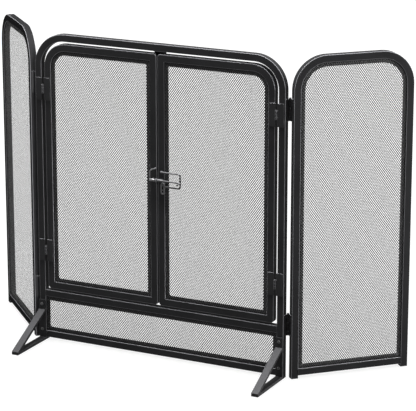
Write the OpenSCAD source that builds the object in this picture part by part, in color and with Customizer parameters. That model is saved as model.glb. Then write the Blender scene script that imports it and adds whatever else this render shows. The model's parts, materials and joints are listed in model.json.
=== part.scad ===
// Three-panel fire screen with two hinged doors, in welded square steel tube.
// X runs across the centre panel, Y runs backwards, Z is up and 0 is the floor.

/* [Centre panel] */
// Width over the two legs of the centre hoop
centre_w = 674; // [560:2:820]
// Height of the hoops above the floor
screen_h = 787; // [700:1:860]
// Outer corner radius of the hoops
hoop_r = 82; // [60:1:100]
// Height of the underside of the mid rail
mid_rail_z = 114; // [108:1:116]

/* [Tube] */
// Side of the square tube
tube = 18; // [16:0.5:20]
// Wall thickness of the tube
wall = 1.2; // [1:0.1:1.6]
// Radius of the tube's long edges
edge_r = 2; // [1.8:0.1:3]

/* [Doors] */
// Gap above a door, under the centre frame
door_gap = 6; // [5:0.5:8]
// Gap between a door and the leg that it hangs on
hinge_gap = 8.5; // [6:0.5:9]
// Gap between the two doors
meeting_gap = 3; // [2:0.5:4]
// Height of the doors' underside
door_z = 137; // [136:1:150]
// Radius of the doors' small corners
small_r = 8; // [6:1:10]

/* [Side panels] */
// Width of a side panel
panel_w = 302; // [240:1:340]
// Angle at which the side panels stand back
panel_angle = 45; // [30:1:60]

/* [Feet] */
// How far a foot reaches in front of the frame
foot_reach = 140; // [120:1:170]
// Height of the upright plate of a foot
foot_plate_h = 105; // [100:1:107]

/* [Hidden] */

black = "#2b2b2d";
mesh_black = "#1d1d1f";
half_w = centre_w / 2;
inner_x = half_w - tube;
cap_t = 2;             // thickness of a leg cap under the tube
cap_plug = 14;         // length of the plug inside the tube
fit_gap = 0.1;         // gap left at a weld or a push fit
ring_facets = 96;

// Frame heights
bottom_rail_z = 6;
panel_rail_z = 7;
frame_top = screen_h - tube;
door_top = frame_top - door_gap;
door_h = door_top - door_z;
door_w = inner_x - hinge_gap - meeting_gap / 2;
door_r = hoop_r - tube - door_gap;

// Mesh and the flat flange behind it, just behind the front of the tubes
flange_w = 10;
flange_t = 1.5;
flange_y = 2.6;
mesh_t = 0.6;
mesh_margin = 1;
flange_corner_r = 4;    // rounded corners of the opening inside a flange

// Hinges
pin_r = 1.5;
pin_clear = 0.05;
knuckle_r = 3;
knuckle_gap = 0.3;
door_leaf_h = 56;
door_leaf_t = 2;
door_leaf_reach = 19;  // from the pin's axis to the leaf's far edge
door_barrel = [-11, -4, 4, 11];
door_hinge_z = [235.5, 647.5];
door_axis_x = inner_x - hinge_gap / 2;
door_axis_y = -door_leaf_t;
panel_leaf_h = 54;
panel_leaf_t = 1.6;
panel_leaf_reach = 18;
panel_half_gap = 2.2;  // half the gap between the facing tubes when they are in line
panel_barrel = [-27, -16.2, -5.4, 5.4, 16.2, 27];
panel_hinge_z = [132.5, 659];
panel_axis_x = half_w + panel_half_gap;
panel_axis_y = tube + 3.2;
pin_head_r = 2.6;
pin_head_t = 1.2;

// Feet
foot_t = 5;
strut_top_z = 80;
foot_tip_h = 8;
foot_base_t = 6;       // thickness of the part that lies on the floor
foot_web = 7;          // how much the plate keeps above the open triangle
foot_nose = 18;        // solid length behind the tip
leg_x = half_w - tube / 2;
screw_z = [28, 94];
screw_r = 2.2;
screw_head_r = 4;
screw_head_t = 2.4;
screw_depth = 10;
screw_clear = 0.05;
rivet_nut_r = 3.6;
rivet_nut_end = 7.5;

// Door latch, all on one line across the doors
latch_z = 456;
latch_y = -11.4;
bolt_r = 2;
bolt_tip_x = -0.8;
bolt_end_x = 70;
bolt_grip = 17.5;
grip_blob_r = 2.25;
guard_r = 2;
guard_y = -7;
guard_x = 12;
guard_end_x = 67;
guard_z = [441, 476];
guard_bend = 6;
wire_r = 1.75;
blob_r = 2.1;          // weld bead or tight bend where two wires meet
keeper_x = [-15, -1.6];
keeper_sleeve_r = 3.4;
keeper_bore_r = 2.35;
keeper_loop_r = 10;
keeper_rise = 27;      // height of the loop's top over the bolt
pull_x = 18;
pull_z = 436;
pull_half_w = 4;
pull_half_h = 13;
guide_x = [5.5, 18];
guide_r = 3.2;
saddle_t = 3;
eye_x = 3.4;
eye_ring_r = 4;
eye_wire_r = 1.4;

// The body's box is centred on Y = 0: feet in front, side panels behind
far_corner_x = panel_half_gap + panel_w - edge_r;
far_corner_y = tube - edge_r - panel_axis_y;
rear_y = panel_axis_y + edge_r + sin(panel_angle) * far_corner_x
    + cos(panel_angle) * far_corner_y;
centre_y = (rear_y - foot_reach) / 2;

// ---------- placing ----------

// Moves a shape from the front face of the tubes to the part's own frame
module placed() translate([0, -centre_y, 0]) children();

// Draws a shape on the left (side = -1) or the right (side = 1) of the middle
module on_side(side) {
    if (side > 0) children();
    else mirror([1, 0, 0]) children();
}

// Turns a right-hand side panel drawn in line with the centre about its hinge pins
module folded() {
    translate([panel_axis_x, panel_axis_y, 0]) rotate([0, 0, panel_angle])
        translate([-panel_axis_x, -panel_axis_y, 0]) children();
}

// Stands an upright XY drawing up in the XZ plane, with its depth running back
module upright() translate([0, tube / 2, 0]) rotate([90, 0, 0]) children();

// ---------- square tube ----------

// Section of the tube, drawn in from its outside by inset
module section(inset) {
    side = tube - 2 * inset;
    r = edge_r - inset > 0.3 ? edge_r - inset : 0.3;
    for (turn = [0, 90]) rotate(turn) square([side, side - 2 * r], center = true);
    for (x = [-1, 1], y = [-1, 1])
        translate([x * (side / 2 - r), y * (side / 2 - r)]) circle(r, $fn = 32);
}

module bar_x(x0, x1, y, inset) {
    translate([x0, y, 0]) rotate([90, 0, 90]) linear_extrude(x1 - x0) section(inset);
}

module bar_y(y0, y1, x, inset) {
    translate([x, y0, 0]) rotate([-90, 0, 0]) linear_extrude(y1 - y0) section(inset);
}

// Quarter bend whose outside has radius r, turned by turn
module bend(x, y, r, turn, inset) {
    translate([x, y, 0]) rotate([0, 0, turn])
        rotate_extrude(angle = 90, $fn = ring_facets) intersection() {
            translate([r - tube / 2, 0]) section(inset);
            translate([0, -tube]) square([2 * r, 2 * tube]);
        }
}

// Closed rectangle of tube with corner radii [bottom left, bottom right, top right, top left]
module tube_ring(w, h, r, inset) {
    half = tube / 2;
    bar_x(r[0], w - r[1], half, inset);
    bar_x(r[3], w - r[2], h - half, inset);
    bar_y(r[0], h - r[3], half, inset);
    bar_y(r[1], h - r[2], w - half, inset);
    bend(r[0], r[0], r[0], 180, inset);
    bend(w - r[1], r[1], r[1], 270, inset);
    bend(w - r[2], h - r[2], r[2], 0, inset);
    bend(r[3], h - r[3], r[3], 90, inset);
}

// Inverted U of tube standing on y0, reaching up to h
module tube_hoop(w, y0, h, r, inset) {
    half = tube / 2;
    bar_x(r, w - r, h - half, inset);
    for (x = [half, w - half]) bar_y(y0, h - r, x, inset);
    bend(w - r, h - r, r, 0, inset);
    bend(r, h - r, r, 90, inset);
}

module hollow_hoop(w) {
    upright() difference() {
        tube_hoop(w, cap_t, screen_h, hoop_r, 0);
        tube_hoop(w, cap_t - 1, screen_h, hoop_r, wall);
    }
}

// Straight piece of tube with open ends
module hollow_rail(x0, x1, z) {
    upright() difference() {
        bar_x(x0, x1, z + tube / 2, 0);
        bar_x(x0 - 1, x1 + 1, z + tube / 2, wall);
    }
}

// ---------- flat outlines ----------

// Rectangle with corner radii in the same order as tube_ring
module outline(w, h, r) {
    corners = [[0, 0, 0], [w, 0, 90], [w, h, 180], [0, h, 270]];
    difference() {
        square([w, h]);
        for (i = [0:3]) if (r[i] > 0)
            translate([corners[i][0], corners[i][1]]) rotate(corners[i][2]) difference() {
                translate([-1, -1]) square(r[i] + 1);
                translate([r[i], r[i]]) circle(r[i], $fn = ring_facets);
            }
    }
}

function less(r, d) = [for (v = r) v > d ? v - d : 0];

// Slab of the outline, standing up with its front face at y
module slab(x, z, w, h, r, y, t) {
    translate([x, y + t, z]) rotate([90, 0, 0]) linear_extrude(t) outline(w, h, r);
}

// Flat ring welded inside a frame opening
module flange(x, z, w, h, r) {
    inside = flange_w - fit_gap;
    difference() {
        slab(x + fit_gap, z + fit_gap, w - 2 * fit_gap, h - 2 * fit_gap,
            less(r, fit_gap), flange_y, flange_t);
        slab(x + flange_w, z + flange_w, w - 2 * flange_w, h - 2 * flange_w,
            [for (v = r) max(v - inside, flange_corner_r)], flange_y - 1, flange_t + 2);
    }
}

// Woven mesh, held against the front of the flange
module mesh_sheet(x, z, w, h, r) {
    m = mesh_margin;
    slab(x + m, z + m, w - 2 * m, h - 2 * m, less(r, m), flange_y - mesh_t, mesh_t);
}

// ---------- centre frame ----------

module centre_hoop() color(black) placed() {
    difference() {
        translate([-half_w, 0, 0]) hollow_hoop(centre_w);
        for (x = [-leg_x, leg_x], z = screw_z)
            translate([x, -1, z]) rotate([-90, 0, 0]) cylinder(r = rivet_nut_r, h = wall + 2, $fn = 48);
    }
}

module mid_rail() color(black) placed() hollow_rail(-inner_x, inner_x, mid_rail_z);

module bottom_rail() color(black) placed() hollow_rail(-inner_x, inner_x, bottom_rail_z);

lower_z = bottom_rail_z + tube;
lower_h = mid_rail_z - lower_z;

module lower_mesh_flange() color(black) placed()
    flange(-inner_x, lower_z, 2 * inner_x, lower_h, [0, 0, 0, 0]);

module lower_mesh() color(mesh_black) placed()
    mesh_sheet(-inner_x, lower_z, 2 * inner_x, lower_h, [0, 0, 0, 0]);

// Angle welded under the top tube, which both doors close against
module door_stop_tab() color(black) placed() {
    stop_w = 32;
    stop_t = 2;
    stop_gap = 0.4;
    stop_drop = 22;
    translate([-stop_w / 2, tube / 2, frame_top - stop_t])
        cube([stop_w, tube / 2 + stop_gap + stop_t, stop_t]);
    translate([-stop_w / 2, tube + stop_gap, frame_top - stop_drop])
        cube([stop_w, stop_t, stop_drop]);
}

// Square plug pushed into the end of a leg
module leg_cap(x) {
    translate([x, tube / 2, 0]) {
        linear_extrude(cap_t) section(0);
        linear_extrude(cap_t + cap_plug) section(wall + fit_gap);
    }
}

module centre_leg_caps() color("#1b1b1c") placed() {
    leg_cap(-leg_x);
    leg_cap(leg_x);
}

// ---------- feet ----------

// Side view of a foot: upright plate, sloping strut and base, with the open triangle
module foot_profile() {
    difference() {
        polygon([[0, 0], [0, foot_plate_h], [-foot_t, foot_plate_h], [-foot_t, strut_top_z],
            [-foot_reach, foot_tip_h], [-foot_reach, 0]]);
        polygon([[-foot_t, foot_base_t], [-foot_t, strut_top_z - foot_web],
            [-foot_reach + foot_nose - 2, foot_base_t + 2],
            [-foot_reach + foot_nose + 2, foot_base_t]]);
    }
}

module foot(side) {
    difference() {
        translate([side * leg_x - tube / 2, 0, 0])
            rotate([90, 0, 90]) linear_extrude(tube) foot_profile();
        for (z = screw_z) translate([side * leg_x, -foot_t - 1, z])
            rotate([-90, 0, 0]) cylinder(r = screw_r + screw_clear, h = foot_t + 2, $fn = 48);
    }
}

module left_foot() color("#3a3a3c") placed() foot(-1);
module right_foot() color("#3a3a3c") placed() foot(1);

module foot_screws() color("#202022") placed()
    for (x = [-leg_x, leg_x], z = screw_z) translate([x, -foot_t, z]) rotate([90, 0, 0]) {
        cylinder(r = screw_head_r, h = screw_head_t, $fn = 48);
        translate([0, 0, -foot_t - screw_depth])
            cylinder(r = screw_r, h = foot_t + screw_depth, $fn = 48);
    }

// Threaded inserts in the leg wall that take the foot screws
module foot_rivet_nuts() color("silver") placed()
    for (x = [-leg_x, leg_x], z = screw_z) translate([x, 0, z]) rotate([-90, 0, 0])
        difference() {
            cylinder(r = rivet_nut_r - fit_gap, h = rivet_nut_end, $fn = 48);
            translate([0, 0, -1]) cylinder(r = screw_r + screw_clear, h = rivet_nut_end + 2, $fn = 48);
        }

// ---------- hinges ----------

// One leaf with its share of the knuckles. The pin stands on the origin, the leaf runs
// along +X between x0 and reach, and lies between y0 and y0 + t.
// barrel lists the knuckle ends; first is 0 for the outer knuckles and 1 for the inner ones.
module hinge_leaf(h, reach, y0, t, barrel, first) {
    clear = knuckle_r + 0.4;
    difference() {
        union() {
            translate([clear, y0, -h / 2]) cube([reach - clear, t, h]);
            for (i = [first:2:len(barrel) - 2]) {
                low = barrel[i] + (i > 0 ? knuckle_gap / 2 : 0);
                high = barrel[i + 1] - (i < len(barrel) - 2 ? knuckle_gap / 2 : 0);
                translate([0, 0, low]) cylinder(r = knuckle_r, h = high - low, $fn = 48);
                translate([pin_r, y0, low]) cube([clear, t, high - low]);
            }
        }
        translate([0, 0, -h]) cylinder(r = pin_r + pin_clear, h = 2 * h, $fn = 48);
    }
}

module hinge_pin(barrel) {
    top = barrel[len(barrel) - 1];
    translate([0, 0, barrel[0] - 1]) cylinder(r = pin_r, h = top - barrel[0] + 1 + pin_head_t, $fn = 48);
    translate([0, 0, top]) cylinder(r = pin_head_r, h = pin_head_t, $fn = 48);
}

// Door hinge leaf on the frame (to = 1) or on the door (to = -1), for the right door
module door_leaf(z, to) {
    translate([door_axis_x, door_axis_y, z]) on_side(to)
        hinge_leaf(door_leaf_h, door_leaf_reach, 0, door_leaf_t, door_barrel, to > 0 ? 0 : 1);
}

// Side hinge leaf on the leg (to = -1) or on the folding panel (to = 1), for the right panel
module panel_leaf(z, to) {
    translate([panel_axis_x, panel_axis_y, z]) on_side(to) rotate([0, 0, -90])
        hinge_leaf(panel_leaf_h, panel_leaf_reach, panel_half_gap - panel_leaf_t, panel_leaf_t,
            panel_barrel, to > 0 ? 1 : 0);
}

module frame_leaf(side, z) color(black) placed() on_side(side) door_leaf(z, 1);
module swing_leaf(side, z) color(black) placed() on_side(side) door_leaf(z, -1);
module fixed_leaf(side, z) color(black) placed() on_side(side) panel_leaf(z, -1);
module fold_leaf(side, z) color(black) placed() on_side(side) folded() panel_leaf(z, 1);

module door_hinge_pins() color("#303032") placed()
    for (side = [-1, 1], z = door_hinge_z)
        translate([side * door_axis_x, door_axis_y, z]) hinge_pin(door_barrel);

module panel_hinge_pins() color("#303032") placed()
    for (side = [-1, 1], z = panel_hinge_z)
        translate([side * panel_axis_x, panel_axis_y, z]) hinge_pin(panel_barrel);

// ---------- doors ----------

// Corner radii of a right door: only its outer top corner follows the hoop
door_radii = [small_r, small_r, door_r, small_r];
door_x = meeting_gap / 2;
drain_r = 2.5;
drain_inset = 40;

module door_frame(side) color(black) placed() on_side(side)
    translate([door_x, 0, door_z]) difference() {
        upright() difference() {
            tube_ring(door_w, door_h, door_radii, 0);
            tube_ring(door_w, door_h, door_radii, wall);
        }
        // drain hole in the underside, which lets the tube breathe when it is coated
        translate([door_w - drain_inset, tube / 2, -1]) cylinder(r = drain_r, h = wall + 2, $fn = 32);
    }

module door_flange(side) color(black) placed() on_side(side)
    flange(door_x + tube, door_z + tube, door_w - 2 * tube, door_h - 2 * tube,
        [0, 0, door_r - tube, 0]);

module door_mesh(side) color(mesh_black) placed() on_side(side)
    mesh_sheet(door_x + tube, door_z + tube, door_w - 2 * tube, door_h - 2 * tube,
        [0, 0, door_r - tube, 0]);

// ---------- door latch ----------

// Wire along X, Y or Z between two points
module wire_x(x0, x1, y, z, r)
    translate([x0, y, z]) rotate([0, 90, 0]) cylinder(r = r, h = x1 - x0, $fn = 32);
module wire_y(y0, y1, x, z, r)
    translate([x, y0, z]) rotate([-90, 0, 0]) cylinder(r = r, h = y1 - y0, $fn = 32);
module wire_z(z0, z1, x, y, r)
    translate([x, y, z0]) cylinder(r = r, h = z1 - z0, $fn = 32);

// Arc of wire in the XZ plane about (x, z), starting at angle start
module wire_arc(x, y, z, ring_r, start, sweep, r) {
    translate([x, y, z]) rotate([90, 0, 0]) rotate([0, 0, start])
        rotate_extrude(angle = sweep, $fn = ring_facets) translate([ring_r, 0]) circle(r, $fn = 32);
}

// Sleeve and wire loop on the left door, which take the bolt's tip
module latch_keeper() color("#3c3c3e") placed() {
    stem_x = keeper_x[0] + 0.5;
    loop_x = stem_x + keeper_loop_r;
    loop_z = latch_z + keeper_rise - keeper_loop_r;
    difference() {
        union() {
            wire_x(keeper_x[0], keeper_x[1], latch_y, latch_z, keeper_sleeve_r);
            wire_z(latch_z + keeper_bore_r + 0.4, loop_z, stem_x, latch_y, wire_r);
            wire_arc(loop_x, latch_y, loop_z, keeper_loop_r, 90, 90, wire_r);
            wire_y(latch_y, 0, loop_x, loop_z + keeper_loop_r, wire_r);
            translate([loop_x, latch_y, loop_z + keeper_loop_r]) sphere(blob_r, $fn = 32);
            wire_y(latch_y + keeper_bore_r + 0.4, 0, keeper_x[0] + 3, latch_z, wire_r);
        }
        wire_x(keeper_x[0] - 1, keeper_x[1] + 1, latch_y, latch_z, keeper_bore_r);
    }
}

// U of wire around the bolt on the right door
module latch_guard() color("#3c3c3e") placed() {
    bend_x = guard_end_x - guard_r - guard_bend;
    low_x = pull_x + pull_half_w + wire_r + 0.2;
    wire_x(guard_x, bend_x, guard_y, guard_z[1], guard_r);
    wire_x(low_x, bend_x, guard_y, guard_z[0], guard_r);
    wire_arc(bend_x, guard_y, guard_z[1] - guard_bend, guard_bend, 0, 90, guard_r);
    wire_arc(bend_x, guard_y, guard_z[0] + guard_bend, guard_bend, 270, 90, guard_r);
    wire_z(guard_z[0] + guard_bend, guard_z[1] - guard_bend, guard_end_x - guard_r, guard_y, guard_r);
    wire_y(guard_y, 0, guard_x, guard_z[1], guard_r);
    translate([guard_x, guard_y, guard_z[1]]) sphere(guard_r + 0.3, $fn = 32);
}

// Oval wire pull under the latch, on two short posts
module right_door_pull() color("#3c3c3e") placed() {
    for (z = [-1, 1]) {
        wire_arc(pull_x, guard_y, pull_z + z * (pull_half_h - pull_half_w), pull_half_w,
            z > 0 ? 0 : 180, 180, wire_r);
        wire_y(guard_y, 0, pull_x - pull_half_w, pull_z + z * 6, wire_r - 0.25);
    }
    for (x = [-1, 1])
        wire_z(pull_z - pull_half_h + pull_half_w, pull_z + pull_half_h - pull_half_w,
            pull_x + x * pull_half_w, guard_y, wire_r);
}

// Sleeve that the bolt slides in, on a short saddle
module latch_guide() color("#3c3c3e") placed() difference() {
    union() {
        wire_x(guide_x[0], guide_x[1], latch_y, latch_z, guide_r);
        translate([guide_x[0] + 1, latch_y + 1, latch_z - saddle_t / 2])
            cube([guide_x[1] - guide_x[0] - 2, -latch_y - 1, saddle_t]);
    }
    wire_x(guide_x[0] - 1, guide_x[1] + 1, latch_y, latch_z, bolt_r + pin_clear);
}

// Ring at the meeting edge that steadies the bolt's tip
module latch_eye() color("#3c3c3e") placed() {
    translate([eye_x, latch_y, latch_z]) rotate([0, 90, 0])
        rotate_extrude($fn = ring_facets) translate([eye_ring_r, 0]) circle(eye_wire_r, $fn = 32);
    wire_y(latch_y + eye_ring_r, 0, eye_x, latch_z, eye_wire_r - 0.2);
}

// Sliding rod with its end bent forwards as a finger grip
module latch_bolt() color("#48484a") placed() {
    wire_x(bolt_tip_x, bolt_end_x - bolt_r, latch_y, latch_z, bolt_r);
    wire_y(latch_y - bolt_grip, latch_y, bolt_end_x - bolt_r, latch_z, bolt_r);
    translate([bolt_end_x - bolt_r, latch_y, latch_z]) sphere(grip_blob_r, $fn = 32);
}

// ---------- side panels ----------

panel_x = half_w + 2 * panel_half_gap;
panel_open_z = panel_rail_z + tube;
panel_radii = [0, 0, hoop_r - tube, hoop_r - tube];

module panel_hoop(side) color(black) placed() on_side(side) folded()
    translate([panel_x, 0, 0]) hollow_hoop(panel_w);

module panel_rail(side) color(black) placed() on_side(side) folded()
    hollow_rail(panel_x + tube, panel_x + panel_w - tube, panel_rail_z);

module panel_flange(side) color(black) placed() on_side(side) folded()
    flange(panel_x + tube, panel_open_z, panel_w - 2 * tube, frame_top - panel_open_z, panel_radii);

module panel_mesh(side) color(mesh_black) placed() on_side(side) folded()
    mesh_sheet(panel_x + tube, panel_open_z, panel_w - 2 * tube, frame_top - panel_open_z, panel_radii);

module panel_caps(side) color("#1b1b1c") placed() on_side(side) folded()
    for (x = [panel_x + tube / 2, panel_x + panel_w - tube / 2]) leg_cap(x);

// ---------- nodes ----------

centre_hoop();
mid_rail();
bottom_rail();
lower_mesh_flange();
lower_mesh();
door_stop_tab();
left_foot();
right_foot();
foot_screws();
foot_rivet_nuts();
centre_leg_caps();
door_hinge_pins();
panel_hinge_pins();
frame_leaf(-1, door_hinge_z[1]);  // left_door_upper_frame_leaf
frame_leaf(-1, door_hinge_z[0]);  // left_door_lower_frame_leaf
frame_leaf(1, door_hinge_z[1]);  // right_door_upper_frame_leaf
frame_leaf(1, door_hinge_z[0]);  // right_door_lower_frame_leaf
fixed_leaf(-1, panel_hinge_z[1]);  // left_panel_upper_fixed_leaf
fixed_leaf(-1, panel_hinge_z[0]);  // left_panel_lower_fixed_leaf
fixed_leaf(1, panel_hinge_z[1]);  // right_panel_upper_fixed_leaf
fixed_leaf(1, panel_hinge_z[0]);  // right_panel_lower_fixed_leaf
door_frame(-1);  // left_door_frame
door_flange(-1);  // left_door_flange
door_mesh(-1);  // left_door_mesh
swing_leaf(-1, door_hinge_z[1]);  // left_door_upper_door_leaf
swing_leaf(-1, door_hinge_z[0]);  // left_door_lower_door_leaf
latch_keeper();
door_frame(1);  // right_door_frame
door_flange(1);  // right_door_flange
door_mesh(1);  // right_door_mesh
swing_leaf(1, door_hinge_z[1]);  // right_door_upper_door_leaf
swing_leaf(1, door_hinge_z[0]);  // right_door_lower_door_leaf
latch_guard();
latch_guide();
latch_eye();
right_door_pull();
latch_bolt();
panel_hoop(-1);  // left_panel_hoop
panel_rail(-1);  // left_panel_rail
panel_flange(-1);  // left_panel_flange
panel_mesh(-1);  // left_panel_mesh
panel_caps(-1);  // left_panel_caps
fold_leaf(-1, panel_hinge_z[1]);  // left_panel_upper_panel_leaf
fold_leaf(-1, panel_hinge_z[0]);  // left_panel_lower_panel_leaf
panel_hoop(1);  // right_panel_hoop
panel_rail(1);  // right_panel_rail
panel_flange(1);  // right_panel_flange
panel_mesh(1);  // right_panel_mesh
panel_caps(1);  // right_panel_caps
fold_leaf(1, panel_hinge_z[1]);  // right_panel_upper_panel_leaf
fold_leaf(1, panel_hinge_z[0]);  // right_panel_lower_panel_leaf
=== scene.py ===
import json
import math

import bpy
import numpy as np
from mathutils import Matrix, Vector


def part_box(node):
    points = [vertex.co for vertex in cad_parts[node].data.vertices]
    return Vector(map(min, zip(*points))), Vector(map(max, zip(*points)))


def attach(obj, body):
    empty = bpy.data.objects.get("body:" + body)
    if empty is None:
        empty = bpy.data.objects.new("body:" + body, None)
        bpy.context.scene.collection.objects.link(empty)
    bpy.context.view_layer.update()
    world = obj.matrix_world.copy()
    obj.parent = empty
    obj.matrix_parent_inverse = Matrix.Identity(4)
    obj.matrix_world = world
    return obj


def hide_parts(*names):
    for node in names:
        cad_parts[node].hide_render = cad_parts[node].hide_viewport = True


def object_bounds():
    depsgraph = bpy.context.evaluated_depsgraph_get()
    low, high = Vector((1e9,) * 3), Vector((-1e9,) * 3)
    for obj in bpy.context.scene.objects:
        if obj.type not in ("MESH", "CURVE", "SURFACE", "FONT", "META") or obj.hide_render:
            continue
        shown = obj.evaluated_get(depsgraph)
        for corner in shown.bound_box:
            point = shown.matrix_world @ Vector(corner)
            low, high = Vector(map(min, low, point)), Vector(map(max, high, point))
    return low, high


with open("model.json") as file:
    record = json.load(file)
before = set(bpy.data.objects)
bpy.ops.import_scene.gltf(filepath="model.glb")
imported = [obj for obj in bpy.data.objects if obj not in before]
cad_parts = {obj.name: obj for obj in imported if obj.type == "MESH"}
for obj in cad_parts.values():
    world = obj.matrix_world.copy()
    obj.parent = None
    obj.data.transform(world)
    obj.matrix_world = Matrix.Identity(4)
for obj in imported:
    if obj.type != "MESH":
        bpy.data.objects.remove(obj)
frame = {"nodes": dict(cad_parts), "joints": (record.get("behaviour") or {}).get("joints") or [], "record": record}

CAD_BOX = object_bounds()
NODES = frame["nodes"]
BODIES = frame["record"]["behaviour"]["bodies"]
JOINTS = {j["name"]: j for j in frame["joints"]}
MM = 0.001

# ---------- camera, floor and light ----------

CAMERA_PLACE = (2.3863, -4.5418, 1.8126)
CAMERA_TURN = 26.59      # degrees to the left of straight ahead
CAMERA_DOWN = 15.62      # degrees below level
CAMERA_LENS = 189.2
HORIZON = 0.4            # strength of the studio's light at the horizon
ZENITH = 1.4             # and overhead
FLOOR_HALF = 30.0
FLOOR_GAP = 0.0002       # how far the floor lies under the legs
FLOOR_GREY = 0.35
FLOOR_ROUGH = 0.9
FLOOR_GLOW = 0.78        # keeps the pale floor free of shadows

# name, azimuth, elevation, distance, size (across, up), power, collection that it lights
LIGHTS = (
    ("overhead", 10.0, 84.0, 3.0, (1.2, 1.2), 520.0, "not_the_floor"),
    ("left_panel_fill", 45.0, 12.0, 2.6, (0.8, 1.6), 300.0, "left_panel_frame"),
    ("left_strip", 285.0, 12.0, 2.6, (0.8, 2.2), 15.0, "not_the_floor"),
    ("right_strip", 112.0, 12.0, 2.6, (0.8, 2.2), 220.0, "not_the_floor"),
)


def direction(azimuth, elevation):
    """Unit vector from the object towards a viewer at these angles, in degrees."""
    a, e = math.radians(azimuth), math.radians(elevation)
    return Vector((math.sin(a) * math.cos(e), -math.cos(a) * math.cos(e), math.sin(e)))


def add_camera():
    data = bpy.data.cameras.new("camera")
    data.lens = CAMERA_LENS
    camera = bpy.data.objects.new("camera", data)
    camera.location = CAMERA_PLACE
    back = direction(CAMERA_TURN, CAMERA_DOWN)
    camera.rotation_euler = (-back).to_track_quat("-Z", "Y").to_euler()
    bpy.context.scene.collection.objects.link(camera)
    bpy.context.scene.camera = camera


def add_area(name, azimuth, elevation, distance, size, power, lit):
    """Softbox of size (across, up) at these angles, aimed at the middle of the screen.

    It lights only what the collection lit allows."""
    middle = (CAD_BOX[0] + CAD_BOX[1]) / 2
    towards = direction(azimuth, elevation)
    data = bpy.data.lights.new(name, "AREA")
    data.shape = "RECTANGLE"
    data.size, data.size_y = size
    data.energy = power
    lamp = bpy.data.objects.new(name, data)
    lamp.location = middle + towards * distance
    lamp.rotation_euler = (-towards).to_track_quat("-Z", "Y").to_euler()
    lamp.visible_camera = False
    lamp.light_linking.receiver_collection = bpy.data.collections[lit]
    bpy.context.scene.collection.objects.link(lamp)


def add_world():
    """Even studio light, brighter overhead than at the horizon."""
    world = bpy.data.worlds.new("studio")
    world.use_nodes = True
    nodes, links = world.node_tree.nodes, world.node_tree.links
    sky = nodes["Background"]
    sky.inputs["Color"].default_value = (1.0, 1.0, 1.0, 1.0)
    place = nodes.new("ShaderNodeTexCoord")
    split = nodes.new("ShaderNodeSeparateXYZ")
    links.new(place.outputs["Generated"], split.inputs["Vector"])
    rise = nodes.new("ShaderNodeMapRange")
    rise.inputs["From Min"].default_value = 0.0
    rise.inputs["From Max"].default_value = 1.0
    rise.inputs["To Min"].default_value = HORIZON
    rise.inputs["To Max"].default_value = ZENITH
    links.new(split.outputs["Z"], rise.inputs["Value"])
    links.new(rise.outputs["Result"], sky.inputs["Strength"])
    bpy.context.scene.world = world


def add_floor():
    half, z = FLOOR_HALF, CAD_BOX[0].z - FLOOR_GAP
    mesh = bpy.data.meshes.new("floor")
    corners = [(-half, -half, z), (half, -half, z), (half, half, z), (-half, half, z)]
    mesh.from_pydata(corners, [], [(0, 1, 2, 3)])
    floor = bpy.data.objects.new("floor", mesh)
    bpy.context.scene.collection.objects.link(floor)
    mat, _, _, shader = new_material("pale_floor")
    shader.inputs["Base Color"].default_value = (FLOOR_GREY, FLOOR_GREY, FLOOR_GREY, 1)
    shader.inputs["Roughness"].default_value = FLOOR_ROUGH
    shader.inputs["Emission Color"].default_value = (1.0, 1.0, 1.0, 1)
    shader.inputs["Emission Strength"].default_value = FLOOR_GLOW
    mesh.materials.append(mat)
    spared = bpy.data.collections.new("not_the_floor")
    spared.objects.link(floor)
    spared.collection_objects[0].light_linking.link_state = "EXCLUDE"


def group_left_panel():
    """Collection of the left panel's frame, which a fill light picks out."""
    group = bpy.data.collections.new("left_panel_frame")
    for name in BODIES["left_panel"]:
        group.objects.link(NODES[name])


# ---------- materials ----------

EDGE_HIGHLIGHT_GREY = 0.08         # painted highlight added to the coat's grey on the rounded edges of the frames
HINGE_EDGE_HIGHLIGHT_GREY = 0.05   # and on those of the door hinges
CLOUD_SCALE, GLOSS_SCALE, PEEL_SCALE = 14.0, 90.0, 900.0     # cycles per metre
PEEL_DEPTH = 0.0001

# body, grey and gloss of its frame's coat; the left panel's lower grey is painted shade
FRAME_COATS = (("centre", 0.0088, 0.03), ("left_panel", 0.0065, 0.0),
               ("right_panel", 0.0088, 0.02))


def new_material(name):
    mat = bpy.data.materials.new(name)
    mat.use_nodes = True
    nodes, links = mat.node_tree.nodes, mat.node_tree.links
    return mat, nodes, links, nodes["Principled BSDF"]


def noise(nodes, links, scale, detail=2.0):
    """Noise texture in object space, with scale in cycles per metre."""
    place = nodes.new("ShaderNodeTexCoord")
    tex = nodes.new("ShaderNodeTexNoise")
    tex.inputs["Scale"].default_value = scale
    tex.inputs["Detail"].default_value = detail
    links.new(place.outputs["Object"], tex.inputs["Vector"])
    return tex.outputs["Fac"]


def ramp(nodes, links, value, low, high, start=0.3, end=0.7):
    """Maps value to a grey or a number between low and high."""
    span = nodes.new("ShaderNodeMapRange")
    span.inputs["From Min"].default_value = start
    span.inputs["From Max"].default_value = end
    span.inputs["To Min"].default_value = low
    span.inputs["To Max"].default_value = high
    links.new(value, span.inputs["Value"])
    return span.outputs["Result"]


def math_node(nodes, links, operation, *values):
    """Output of a maths node fed with sockets or constants."""
    node = nodes.new("ShaderNodeMath")
    node.operation = operation
    for socket, value in zip(node.inputs, values):
        if isinstance(value, (int, float)):
            socket.default_value = value
        else:
            links.new(value, socket)
    return node.outputs["Value"]


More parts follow.
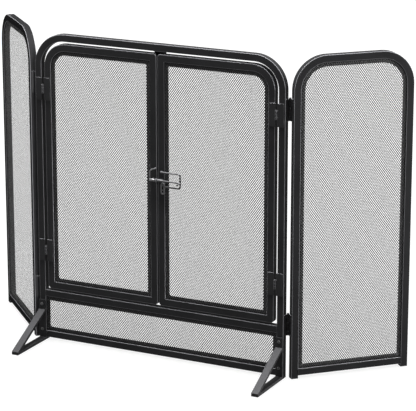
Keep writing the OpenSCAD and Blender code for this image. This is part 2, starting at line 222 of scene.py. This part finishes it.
def edge_highlight_mask(nodes, links, facing):
    """1 where a surface turns from the face of a frame to its side, 0 on the flats: where the painted edge
    highlight goes.
    """
    place = nodes.new("ShaderNodeTexCoord")
    dot = nodes.new("ShaderNodeVectorMath")
    dot.operation = "DOT_PRODUCT"
    dot.inputs[1].default_value = facing
    links.new(place.outputs["Normal"], dot.inputs[0])
    lean = math_node(nodes, links, "ABSOLUTE", dot.outputs["Value"])
    off_side = ramp(nodes, links, lean, 0.0, 1.0, 0.3, 0.6)
    off_face = ramp(nodes, links, lean, 1.0, 0.0, 0.85, 0.97)
    return math_node(nodes, links, "MULTIPLY", off_side, off_face)


def top_light_mask(nodes, links, sloping):
    """1 where a surface faces up, 0 where it is upright or faces down: where painted light from above goes.

    With sloping, level surfaces count as 0 too."""
    place = nodes.new("ShaderNodeTexCoord")
    split = nodes.new("ShaderNodeSeparateXYZ")
    links.new(place.outputs["Normal"], split.inputs["Vector"])
    rise = ramp(nodes, links, split.outputs["Z"], 0.0, 1.0, 0.35, 0.85)
    if not sloping:
        return rise
    level = ramp(nodes, links, split.outputs["Z"], 1.0, 0.0, 0.94, 0.995)
    return math_node(nodes, links, "MULTIPLY", rise, level)


def coated(name, grey, rough, peel, specular=0.3, tint=1.0, facing=None, edge=0.0, top=0.0,
           sloping=False):
    """Black coated metal: mottled grey, uneven gloss and a fine orange-peel skin.

    Painted highlights make it lighter: by edge on the rounded edges of a frame that faces
    along facing, and by top, as painted light from above, on surfaces that face up."""
    mat, nodes, links, shader = new_material(name)
    cloud = noise(nodes, links, CLOUD_SCALE, 3.0)
    colour = nodes.new("ShaderNodeCombineColor")
    base = ramp(nodes, links, cloud, grey * 0.85, grey * 1.15)
    if facing is not None:
        # painted highlight: edge lightens the coat on the rounded edges
        edge_highlight = edge_highlight_mask(nodes, links, facing)
        base = math_node(nodes, links, "MULTIPLY_ADD", edge_highlight, edge, base)
    # painted light from above: top lightens the coat where it faces up
    if top:
        base = math_node(nodes, links, "MULTIPLY_ADD", top_light_mask(nodes, links, sloping), top, base)
    links.new(base, colour.inputs["Red"])
    links.new(base, colour.inputs["Green"])
    links.new(math_node(nodes, links, "MULTIPLY", base, tint), colour.inputs["Blue"])
    links.new(colour.outputs["Color"], shader.inputs["Base Color"])
    gloss = noise(nodes, links, GLOSS_SCALE, 2.0)
    links.new(ramp(nodes, links, gloss, rough - 0.04, rough + 0.05), shader.inputs["Roughness"])
    skin = nodes.new("ShaderNodeBump")
    skin.inputs["Strength"].default_value = peel
    skin.inputs["Distance"].default_value = PEEL_DEPTH
    links.new(noise(nodes, links, PEEL_SCALE, 1.0), skin.inputs["Height"])
    links.new(skin.outputs["Normal"], shader.inputs["Normal"])
    shader.inputs["Specular IOR Level"].default_value = specular
    return mat


def face_of(body):
    """Direction in which the frame of a body faces at rest, without its sign."""
    return (flat_matrix(BODIES[body][0]).inverted().to_3x3() @ Vector((0, 1, 0)))[:]


def make_materials():
    return {
        # frame coats: a painted highlight lightens their rounded edges
        **{"powder_black_" + body: coated("powder_coat_" + body, grey, 0.6, 0.35, gloss,
                                          1.05, face_of(body), EDGE_HIGHLIGHT_GREY)
           for body, grey, gloss in FRAME_COATS},
        # top paints light from above onto upward faces of feet, hinges, pins and wires; door hinges also get a
        # painted edge highlight
        "foot_black": coated("foot_powder_coat", 0.0085, 0.5, 0.35, 0.05, 1.05, top=0.017,
                             sloping=True),
        "hinge_black": coated("hinge_powder_coat", 0.009, 0.42, 0.3, 0.05, 1.05, top=0.1),
        "door_hinge_black": coated("door_hinge_coat", 0.009, 0.42, 0.3, 0.05, 1.05,
                                   face_of("centre"), HINGE_EDGE_HIGHLIGHT_GREY, top=0.1),
        "hinge_pin_black": coated("hinge_pin_coat", 0.009, 0.42, 0.3, 0.05, 1.05, top=0.02),
        "latch_wire": coated("latch_wire_coat", 0.012, 0.3, 0.12, 0.3, 1.04, top=0.085),
        # pull wire: lighter grey than latch_wire, a painted highlight on the pull, eye ring and keeper
        "pull_wire": coated("pull_wire_highlight_coat", 0.035, 0.3, 0.12, 0.4, 1.04, top=0.085),
        "wire_mesh": coated("mesh_wire_coat", 0.009, 0.5, 0.1, 0.2, 1.02),
        "screw_black": coated("black_oxide", 0.02, 0.32, 0.1, 0.4, 1.02),
        "leg_cap": coated("cap_plastic", 0.014, 0.6, 0.5, 0.3, 1.0),
        "insert_steel": coated("zinc_plate", 0.5, 0.35, 0.1, 0.5, 1.02),
        "weld": coated("weld_coat", 0.008, 0.36, 0.3, 0.16, 1.05),
    }


# ---------- CAD nodes that stay ----------

CHAMFERED = ("_leaf", "_foot", "_tab", "_pins", "_guide")
CHAMFER = 0.75 * MM
CHAMFER_ANGLE = 35       # edges sharper than this, in degrees, are chamfered
WELD_GAP = 0.02 * MM     # vertices closer than this are joined


def coat_of(node, slot):
    """Name of the material for a node: frames have one for each way they face, the left panel's a
    darker copy for painted shade, and door hinges and pins have their own."""
    if slot == "powder_black":
        for body in ("left_panel", "right_panel"):
            if node in BODIES[body]:
                return "powder_black_" + body
        return "powder_black_centre"
    if slot == "hinge_black" and node.endswith("_pins"):
        return "hinge_pin_black"
    if slot == "hinge_black" and "_door_" in node:
        return "door_hinge_black"
    return slot


def dress_nodes(materials):
    """Gives every CAD node its slot's material, and softens the sharp edges of flat parts."""
    slots = {s["node"]: s["material_slot"] for s in frame["record"]["subparts"]}
    for name, node in NODES.items():
        node.data.materials.clear()
        node.data.materials.append(materials[coat_of(name, slots[name])])
        weld = node.modifiers.new("weld", "WELD")
        weld.merge_threshold = WELD_GAP
        if name.endswith(CHAMFERED):
            bevel = node.modifiers.new("edge", "BEVEL")
            bevel.width = CHAMFER
            bevel.segments = 2
            bevel.limit_method = "ANGLE"
            bevel.angle_limit = math.radians(CHAMFER_ANGLE)
            bevel.harden_normals = False


# ---------- mesh building ----------

def add_mesh(name, verts, faces, material, smooth=True):
    """Mesh object from vertices and faces: a list of tuples, or an array if all have
    the same number of sides."""
    mesh = bpy.data.meshes.new(name)
    verts = np.asarray(verts, np.float32)
    if isinstance(faces, np.ndarray):
        count, sides = faces.shape
        mesh.vertices.add(len(verts))
        mesh.vertices.foreach_set("co", verts.ravel())
        mesh.loops.add(count * sides)
        mesh.loops.foreach_set("vertex_index", faces.astype(np.int32).ravel())
        mesh.polygons.add(count)
        mesh.polygons.foreach_set("loop_start", np.arange(count, dtype=np.int32) * sides)
        mesh.update(calc_edges=True)
    else:
        mesh.from_pydata(verts.tolist(), [], faces)
    mesh.polygons.foreach_set("use_smooth", np.full(len(mesh.polygons), smooth))
    mesh.validate()
    mesh.update()
    mesh.materials.append(material)
    obj = bpy.data.objects.new(name, mesh)
    bpy.context.scene.collection.objects.link(obj)
    return obj


def add_piece(name, verts, faces, material, body, replaced=(), smooth=True):
    """Mesh piece that rides on a body in place of the replaced CAD nodes."""
    obj = add_mesh(name, verts, faces, material, smooth)
    if replaced:
        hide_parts(*replaced)
    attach(obj, body)


# ---------- folded frames ----------

def flat_matrix(node):
    """Turns a side panel's frame back in line with the centre panel; identity for the rest."""
    for side in ("left", "right"):
        if node in BODIES[side + "_panel"]:
            joint = JOINTS[side + "_panel_fold"]
            turn = math.radians(joint["range_deg"][0]) * joint["axis"][2]
            place = Matrix.Translation(Vector(joint["pos_m"]))
            return place @ Matrix.Rotation(turn, 4, "Z") @ place.inverted()
    return Matrix.Identity(4)


def flat_points(node):
    """A node's vertices in the unfolded frame, as an array."""
    to_flat = flat_matrix(node)
    return np.array([to_flat @ v.co for v in NODES[node].data.vertices])


# ---------- woven wire ----------

CELL_W = 5.35 * MM       # one diamond of the weave, across
CELL_H = 7.35 * MM       # and up
STRAND_W = 0.74 * MM     # half width of a flattened wire
STRAND_T = 0.12 * MM     # and half its thickness
WEAVE = 0.98             # how far a wire rises at a crossing, in half thicknesses
SHEET_DEPTH = 2.05       # middle of the weave before the sheet's back, in half thicknesses
TOP_BAND = 0.0011 * MM   # vertices this close to a sheet's top count as its top edge
END_GAP = 0.02           # shortest stretch of wire past a crossing, in crossings
SHORTEST = 0.5           # shortest wire, in crossings


def sheet_outline(node):
    """Box of a mesh sheet in the unfolded frame and the radii of its two top corners."""
    p = flat_points(node)
    low, high = p.min(0), p.max(0)
    top = p[p[:, 2] > high[2] - TOP_BAND]
    left = top[:, 0].min() - low[0]
    right = high[0] - top[:, 0].max()
    return low, high, (left, right)


def clip_line(x, z, dx, dz, low, high, radii):
    """Range of t in which (x + t dx, z + t dz) lies inside the sheet, or None."""
    start = max(min((low[0] - x) / dx, (high[0] - x) / dx), (low[2] - z) / dz)
    end = min(max((low[0] - x) / dx, (high[0] - x) / dx), (high[2] - z) / dz)
    if end <= start:
        return None
    for side, radius in zip((-1, 1), radii):
        edge = low[0] if side < 0 else high[0]
        cx, cz = edge - side * radius, high[2] - radius
        px, pz = x + end * dx, z + end * dz
        if radius > 0 and (px - cx) * side > 0 and pz > cz:
            if (px - cx) ** 2 + (pz - cz) ** 2 > radius ** 2:
                a = dx * dx + dz * dz
                b = (x - cx) * dx + (z - cz) * dz
                c = (x - cx) ** 2 + (z - cz) ** 2 - radius ** 2
                root = b * b - a * c
                if root <= 0:
                    return None
                first, end = (-b - math.sqrt(root)) / a, (-b + math.sqrt(root)) / a
                fx, fz = x + start * dx, z + start * dz
                if (fx - cx) * side > 0 and fz > cz:
                    start = max(start, first)
                if end <= start:
                    return None
    return start, end


def weave_side(crossing, over):
    """-1 where the wire passes in front at a crossing, 1 where it passes behind."""
    return np.where((crossing + over) % 2 == 0, -1.0, 1.0)


def wire_rings(x, z, dx, dz, span, over, plane_y):
    """Four-sided rings along one wire that goes over and under at each crossing."""
    start, end = span
    inner = np.arange(math.ceil(start + END_GAP), math.floor(end - END_GAP) + 1)
    t = np.concatenate([[start], inner, [end]])
    low = np.floor(t)
    before, after = weave_side(low, over), weave_side(low + 1, over)
    wave = before + (after - before) * (t - low)
    centre = np.stack([x + t * dx, plane_y + wave * STRAND_T * WEAVE, z + t * dz], 1)
    across = np.array([-dz, 0, dx]) / math.hypot(dx, dz) * STRAND_W
    depth = np.array([0, STRAND_T, 0])
    return np.stack([centre + across, centre + depth, centre - across, centre - depth], 1)


def woven_sheet(name, node, body, material):
    """Diagonal plain weave that fills a mesh sheet."""
    low, high, radii = sheet_outline(node)
    plane_y = high[1] - SHEET_DEPTH * STRAND_T
    verts, faces, made = [], [], 0
    half_w, half_h = CELL_W / 2, CELL_H / 2
    columns = int((high[0] - low[0]) / CELL_W) + 2
    rows = int((high[2] - low[2]) / CELL_H) + 2
    for lean in (1, -1):
        for k in range(-rows - 2, columns + rows + 4):
            x = low[0] + k * CELL_W if lean > 0 else high[0] - k * CELL_W
            # t counts crossings from the sheet's lower edge, so that both leans meet there
            span = clip_line(x, low[2], lean * half_w, half_h, low, high, radii)
            if span is None or span[1] - span[0] < SHORTEST:
                continue
            shift = (k + (0 if lean > 0 else 1)) % 2
            rings = wire_rings(x, low[2], lean * half_w, half_h, span, shift, plane_y)
            count = len(rings)
            verts.append(rings.reshape(-1, 3))
            first = made + 4 * np.arange(count - 1)[:, None, None]
            side = np.arange(4)[None, :, None]
            quad = np.concatenate([first + side, first + (side + 1) % 4,
                                   first + 4 + (side + 1) % 4, first + 4 + side], 2)
            faces.append(quad.reshape(-1, 4))
            caps = made + np.array([[3, 2, 1, 0], 4 * (count - 1) + np.arange(4)])
            faces.append(caps)
            made += 4 * count
    points = np.concatenate(verts)
    back = flat_matrix(node).inverted()
    turn = np.array(back.to_3x3())
    points = points @ turn.T + np.array(back.translation)
    add_piece(name, points, np.concatenate(faces), material, body, (node,))


def add_meshes(materials):
    sheets = [("lower_mesh", "centre")]
    sheets += [(body + "_mesh", body)
               for body in ("left_door", "right_door", "left_panel", "right_panel")]
    for node, body in sheets:
        woven_sheet(node + "_wires", node, body, materials["wire_mesh"])


# ---------- bent round wire ----------

DOME_END = ((0.0, 0.55), (0.25, 0.85))      # rings of a domed end: share of depth, of radius
DOME = 0.35                                 # depth of the dome in radii


def rounded_path(points, bend, closed=False, steps=6):
    """The polyline with each corner rounded to the radius bend, as a list of vectors."""
    points = [Vector(p) for p in points]
    count = len(points)
    path = []
    for i, p in enumerate(points):
        if not closed and i in (0, count - 1):
            path.append(p)
            continue
        before, after = points[i - 1], points[(i + 1) % count]
        a, b = (before - p), (after - p)
        turn = a.angle(b)
        if turn > math.pi - 0.02:
            path.append(p)
            continue
        reach = min(bend / math.tan(turn / 2), a.length * 0.49, b.length * 0.49)
        radius = reach * math.tan(turn / 2)
        start, end = p + a.normalized() * reach, p + b.normalized() * reach
        centre = p + (a.normalized() + b.normalized()).normalized() * (radius / math.sin(turn / 2))
        for k in range(steps + 1):
            spoke = (start - centre).normalized().slerp((end - centre).normalized(), k / steps)
            path.append(centre + spoke * radius)
    return path


def sweep(path, radius, sides=14, closed=False):
    """Round tube along a path, with domed ends if it is open, as verts and faces.

    The radius is a number, or a function of a point's place in the path."""
    count = len(path)
    tangents = []
    for i in range(count):
        a = path[i - 1] if (closed or i > 0) else path[0]
        b = path[(i + 1) % count] if (closed or i < count - 1) else path[-1]
        tangents.append((b - a).normalized())
    normal = tangents[0].orthogonal().normalized()
    frames = []
    for i in range(count):
        if i:
            turn = tangents[i - 1].rotation_difference(tangents[i])
            normal = turn @ normal
        normal = (normal - tangents[i] * normal.dot(tangents[i])).normalized()
        frames.append((normal.copy(), tangents[i].cross(normal)))
    sizes = [radius(i) if callable(radius) else radius for i in range(count)]
    ring_list = [(path[i], sizes[i], frames[i]) for i in range(count)]
    if not closed:
        first, last = ring_list[0], ring_list[-1]
        dome = sizes[0] * DOME
        head = [(first[0] + tangents[0] * dome * f, sizes[0] * g, first[2]) for f, g in DOME_END]
        tail = [(last[0] - tangents[-1] * dome * f, sizes[-1] * g, last[2])
                for f, g in DOME_END[::-1]]
        moved_first = (first[0] + tangents[0] * dome, first[1], first[2])
        moved_last = (last[0] - tangents[-1] * dome, last[1], last[2])
        ring_list = head + [moved_first] + ring_list[1:-1] + [moved_last] + tail
    verts, faces = [], []
    for centre, r, (u, v) in ring_list:
        for k in range(sides):
            a = 2 * math.pi * k / sides
            verts.append(centre + (u * math.cos(a) + v * math.sin(a)) * r)
    total = len(ring_list)
    for i in range(total if closed else total - 1):
        j = (i + 1) % total
        for k in range(sides):
            m = (k + 1) % sides
            faces.append((i * sides + k, i * sides + m, j * sides + m, j * sides + k))
    if not closed:
        faces.append(tuple(range(sides))[::-1])
        faces.append(tuple((total - 1) * sides + k for k in range(sides)))
    return [tuple(v) for v in verts], faces


def joined(*parts):
    """Several (verts, faces) as one."""
    verts, faces = [], []
    for v, f in parts:
        base = len(verts)
        verts += list(v)
        faces += [tuple(i + base for i in face) for face in f]
    return verts, faces


def arc(centre, radius, start, end, steps, plane="xz"):
    """Points of an arc about centre, angles in degrees from the plane's first axis."""
    out = []
    for k in range(steps + 1):
        a = math.radians(start + (end - start) * k / steps)
        first, second = radius * math.cos(a), radius * math.sin(a)
        offset = (first, 0, second) if plane == "xz" else (0, first, second)
        out.append(Vector(centre) + Vector(offset))
    return out


def lathe(profile, centre, axis, sides=40):
    """Turns a closed profile of (radius, along) points about an axis through centre."""
    axis = Vector(axis).normalized()
    u = axis.orthogonal().normalized()
    v = axis.cross(u)
    verts, faces, n = [], [], len(profile)
    for k in range(sides):
        a = 2 * math.pi * k / sides
        out = u * math.cos(a) + v * math.sin(a)
        verts += [tuple(Vector(centre) + out * r + axis * t) for r, t in profile]
    for k in range(sides):
        m = (k + 1) % sides
        for i in range(n):
            j = (i + 1) % n
            faces.append((k * n + i, m * n + i, m * n + j, k * n + j))
    return verts, faces


# ---------- latch ----------

BOLT_R = 2.0 * MM
GUARD_R = 2.0 * MM
LOOP_R = 1.75 * MM
BLOB = 0.3 * MM          # how far a CAD weld blob stands out from its wire
POST_SINK = 0.3 * MM     # how far a post runs into the tube it is welded to
GRIP_BEND = 4.5 * MM
GUARD_BEND = 5.5 * MM
PULL_POST_R = 1.5 * MM
PULL_POST_RISE = 6 * MM      # of the posts above and below the pull's middle
SLEEVE_R, SLEEVE_BORE_R, SLEEVE_RIM = 3.4 * MM, 2.4 * MM, 0.4 * MM
SLEEVE_LENGTH = 13.4 * MM
LOOP_BEND_R = 10 * MM        # large bend of the keeper's loop
LOOP_CORNER = 1.7 * MM       # and its tight bend towards the door
LOOP_LEAD = 1.8 * MM         # straight stretch before the tight bend
LOOP_START = 0.5 * MM        # from the sleeve's end to the loop's stem
LOOP_CLEAR = 0.9 * MM        # stem above the sleeve
LOOP_TOP = 2.1 * MM          # middle of the wire under the top of the keeper's box
KEEPER_POST_X = 3 * MM       # post behind the sleeve, from its end


def add_bolt(materials):
    """Sliding rod, its end bent forwards as a finger grip."""
    low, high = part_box("latch_bolt")
    z = (low.z + high.z) / 2
    blob = (high.z - low.z) / 2
    y, end = high.y - blob, high.x - blob
    path = rounded_path([(low.x, y, z), (end, y, z), (end, low.y, z)], GRIP_BEND)
    verts, faces = sweep(path, BOLT_R, 18)
    add_piece("bolt_rod", verts, faces, materials["latch_wire"], "latch",
              ("latch_bolt",))


def add_guard(materials):
    """U of wire on the right door, from a post on the stile back to the oval pull."""
    low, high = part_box("latch_guard")
    blob = GUARD_R + BLOB
    x0, x1 = low.x + blob, high.x - GUARD_R
    y = low.y + blob
    z0, z1 = low.z + GUARD_R, high.z - blob
    pull_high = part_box("right_door_pull")[1]
    points = [(x0, high.y + POST_SINK, z1), (x0, y, z1), (x1, y, z1), (x1, y, z0),
              (pull_high.x - LOOP_R * 0.6, y, z0)]
    verts, faces = sweep(rounded_path(points, GUARD_BEND, steps=8), GUARD_R, 18)
    add_piece("guard_wire", verts, faces, materials["latch_wire"], "right_door",
              ("latch_guard",))


def add_pull(materials):
    """Oval wire pull standing on two short posts."""
    low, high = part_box("right_door_pull")
    y = low.y + LOOP_R
    x0, x1 = low.x + LOOP_R, high.x - LOOP_R
    z0, z1 = low.z + LOOP_R, high.z - LOOP_R
    half = (x1 - x0) / 2
    oval = rounded_path([(x0, y, z0), (x1, y, z0), (x1, y, z1), (x0, y, z1)], half * 0.98,
                        closed=True, steps=10)
    posts = []
    for z in ((z0 + z1) / 2 - PULL_POST_RISE, (z0 + z1) / 2 + PULL_POST_RISE):
        path = [Vector((x0, high.y + POST_SINK, z)), Vector((x0, y, z))]
        posts.append(sweep(path, PULL_POST_R, 14))
    verts, faces = joined(sweep(oval, LOOP_R, 16, closed=True), *posts)
    add_piece("oval_pull", verts, faces, materials["pull_wire"], "right_door",
              ("right_door_pull",))


def add_eye(materials):
    """Wire ring that steadies the tip of the bolt."""
    low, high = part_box("latch_eye")
    r = (high.x - low.x) / 2
    x, z = (low.x + high.x) / 2, (low.z + high.z) / 2
    ring_r = (high.z - low.z) / 2 - r
    y = low.y + r + ring_r
    ring = arc((x, y, z), ring_r, 0, 345, 23, "yz")
    post = [Vector((x, y + ring_r * 0.95, z)), Vector((x, high.y + POST_SINK, z))]
    verts, faces = joined(sweep(ring, r, 14, closed=True), sweep(post, r * 0.86, 12))
    add_piece("eye_ring", verts, faces, materials["pull_wire"], "right_door",
              ("latch_eye",))


def add_keeper(materials):
    """Sleeve on the left door that takes the bolt, hung from a bent wire loop."""
    low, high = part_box("latch_keeper")
    bolt_low, bolt_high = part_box("latch_bolt")
    z = (bolt_low.z + bolt_high.z) / 2
    blob = (bolt_high.z - bolt_low.z) / 2
    y = bolt_high.y - blob
    x0, x1 = high.x - SLEEVE_LENGTH, high.x
    half, rim, lip = (x1 - x0) / 2, SLEEVE_RIM, SLEEVE_BORE_R + SLEEVE_RIM * 0.6
    profile = [(SLEEVE_BORE_R, -half + rim), (lip, -half), (SLEEVE_R - rim, -half),
               (SLEEVE_R, -half + rim), (SLEEVE_R, half - rim), (SLEEVE_R - rim, half),
               (lip, half), (SLEEVE_BORE_R, half - rim)]
    sleeve = lathe(profile, ((x0 + x1) / 2, y, z), (1, 0, 0), 32)
    stem_x = x0 + LOOP_START
    loop_x = stem_x + LOOP_BEND_R
    top = high.z - LOOP_TOP
    stem = [Vector((stem_x, y, z + SLEEVE_R + LOOP_CLEAR))]
    curve = arc((loop_x, y, top - LOOP_BEND_R), LOOP_BEND_R, 180, 102, 12)
    corner = rounded_path([(loop_x - LOOP_LEAD, y, top), (loop_x, y, top),
                           (loop_x, high.y + POST_SINK, top)], LOOP_CORNER, steps=6)
    loop = sweep(stem + curve + corner, LOOP_R, 16)
    post_x = x0 + KEEPER_POST_X
    post = sweep([Vector((post_x, y + SLEEVE_BORE_R + 0.5 * MM, z)),
                  Vector((post_x, high.y + POST_SINK, z))], LOOP_R * 0.9, 14)
    verts, faces = joined(sleeve, loop, post)
    add_piece("keeper_loop", verts, faces, materials["pull_wire"], "left_door",
              ("latch_keeper",))


# ---------- screws ----------

SCREW_HEAD_R = 4.0 * MM
SCREW_HEAD_T = 2.4 * MM
RECESS_W = 0.55 * MM     # half width of the cross recess
RECESS_R = 2.1 * MM
RECESS_D = 1.1 * MM
SCREW_RINGS = (0.12, 0.3, 0.45, 0.6, 0.9, 1.3, 1.7, 2.05, 2.2, 2.7, 3.2, 3.6, 3.85, 4.0)
SCREW_SPOKES = 64
SHANK_R = 2.15 * MM


def screw_head(x, front, z):
    """Domed head with a cross recess, facing forwards, as a polar grid."""
    rings, spokes = SCREW_RINGS, SCREW_SPOKES
    verts = [(x, front + RECESS_D, z)]
    faces = []
    for r_mm in rings:
        r = r_mm * MM
        for k in range(spokes):
            a = 2 * math.pi * k / spokes
            px, pz = r * math.cos(a), r * math.sin(a)
            dome = SCREW_HEAD_T * 0.55 * (r / SCREW_HEAD_R) ** 3
            inside = min(abs(px), abs(pz)) < RECESS_W and r < RECESS_R
            verts.append((x + px, front + (RECESS_D if inside else dome), z + pz))
    for k in range(spokes):
        a = 2 * math.pi * k / spokes
        verts.append((x + SCREW_HEAD_R * math.cos(a), front + SCREW_HEAD_T + 0.2 * MM,
                      z + SCREW_HEAD_R * math.sin(a)))
    for k in range(spokes):
        m = (k + 1) % spokes
        faces.append((0, 1 + k, 1 + m))
        for i in range(len(rings)):
            a, b = 1 + i * spokes, 1 + (i + 1) * spokes
            faces.append((a + k, b + k, b + m, a + m))
    base = 1 + len(rings) * spokes
    faces.append(tuple(base + k for k in range(spokes))[::-1])
    return verts, faces


def add_screws(materials):
    low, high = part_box("foot_screws")
    heads = []
    for x in (low.x + SCREW_HEAD_R, high.x - SCREW_HEAD_R):
        for z in (low.z + SCREW_HEAD_R, high.z - SCREW_HEAD_R):
            heads.append(screw_head(x, low.y, z))
            shank = [Vector((x, low.y + SCREW_HEAD_T, z)), Vector((x, high.y, z))]
            heads.append(sweep(shank, SHANK_R, 20))
    verts, faces = joined(*heads)
    add_piece("pan_head_screws", verts, faces, materials["screw_black"], "centre",
              ("foot_screws",), smooth=False)


# ---------- weld beads ----------

BEAD_R = 1.1 * MM
BEAD_PITCH = 1.6 * MM
RAIL_BEAD_INSET = 2.2 * MM
RAIL_BEAD_DEPTH = 0.25 * MM
LEAF_BEAD = 14 * MM      # length of a bead on a hinge leaf
LEAF_BEAD_INSET = 3 * MM


def bead(start, end):
    """Rippled weld bead between two points, half sunk in the joint it closes."""
    start, end = Vector(start), Vector(end)
    length = (end - start).length
    count = max(4, int(length / BEAD_PITCH * 4))
    path = [start.lerp(end, i / count) for i in range(count + 1)]

    def ripple(i):
        taper = min(1.0, 0.55 + 0.45 * min(i, count - i) / 2)
        return BEAD_R * taper * (1 + 0.13 * math.cos(math.pi * i / 2))

    return sweep(path, ripple, 10)


def node_corners(node):
    """A node's box in the unfolded frame, as two arrays."""
    p = flat_points(node)
    return p.min(0), p.max(0)


def folded(verts, node):
    """Takes vertices from the unfolded frame to where the node's body rests."""
    back = flat_matrix(node).inverted()
    return [tuple(back @ Vector(v)) for v in verts]


def rail_beads(node):
    """Upright beads where both ends of a rail meet the legs, front and back."""
    low, high = node_corners(node)
    beads = []
    for x in (low[0], high[0]):
        for y in (low[1] + RAIL_BEAD_DEPTH, high[1] - RAIL_BEAD_DEPTH):
            beads.append(bead((x, y, low[2] + RAIL_BEAD_INSET),
                              (x, y, high[2] - RAIL_BEAD_INSET)))
    return beads


def leaf_beads(node, far_x, y):
    """Two short beads along the far edge of a hinge leaf."""
    low, high = node_corners(node)
    starts = (low[2] + LEAF_BEAD_INSET, high[2] - LEAF_BEAD_INSET - LEAF_BEAD)
    return [bead((far_x, y, z), (far_x, y, z + LEAF_BEAD)) for z in starts]


def add_welds(materials):
    by_body = {body: [] for body in ("centre", "left_door", "right_door", "left_panel",
                                     "right_panel")}
    tube_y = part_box("mid_rail")[0].y
    for node in ("mid_rail", "bottom_rail"):
        by_body["centre"] += rail_beads(node)
    for side in ("left", "right"):
        node = side + "_panel_rail"
        for verts, faces in rail_beads(node):
            by_body[side + "_panel"].append((folded(verts, node), faces))
        for level in ("upper", "lower"):
            for kind, body in (("frame", "centre"), ("door", side + "_door")):
                leaf = f"{side}_door_{level}_{kind}_leaf"
                low, high = node_corners(leaf)
                outer = (kind == "frame") == (side == "right")
                far = high[0] if outer else low[0]
                by_body[body] += leaf_beads(leaf, far, tube_y)
    for body, beads in by_body.items():
        verts, faces = joined(*beads)
        add_piece(body + "_weld_beads", verts, faces, materials["weld"], body)


add_camera()
add_world()
add_floor()
group_left_panel()
for light in LIGHTS:
    add_area(*light)
MATERIALS = make_materials()
dress_nodes(MATERIALS)
add_meshes(MATERIALS)
add_bolt(MATERIALS)
add_guard(MATERIALS)
add_pull(MATERIALS)
add_eye(MATERIALS)
add_keeper(MATERIALS)
add_screws(MATERIALS)
add_welds(MATERIALS)
bpy.context.scene.view_settings.view_transform = "Standard"
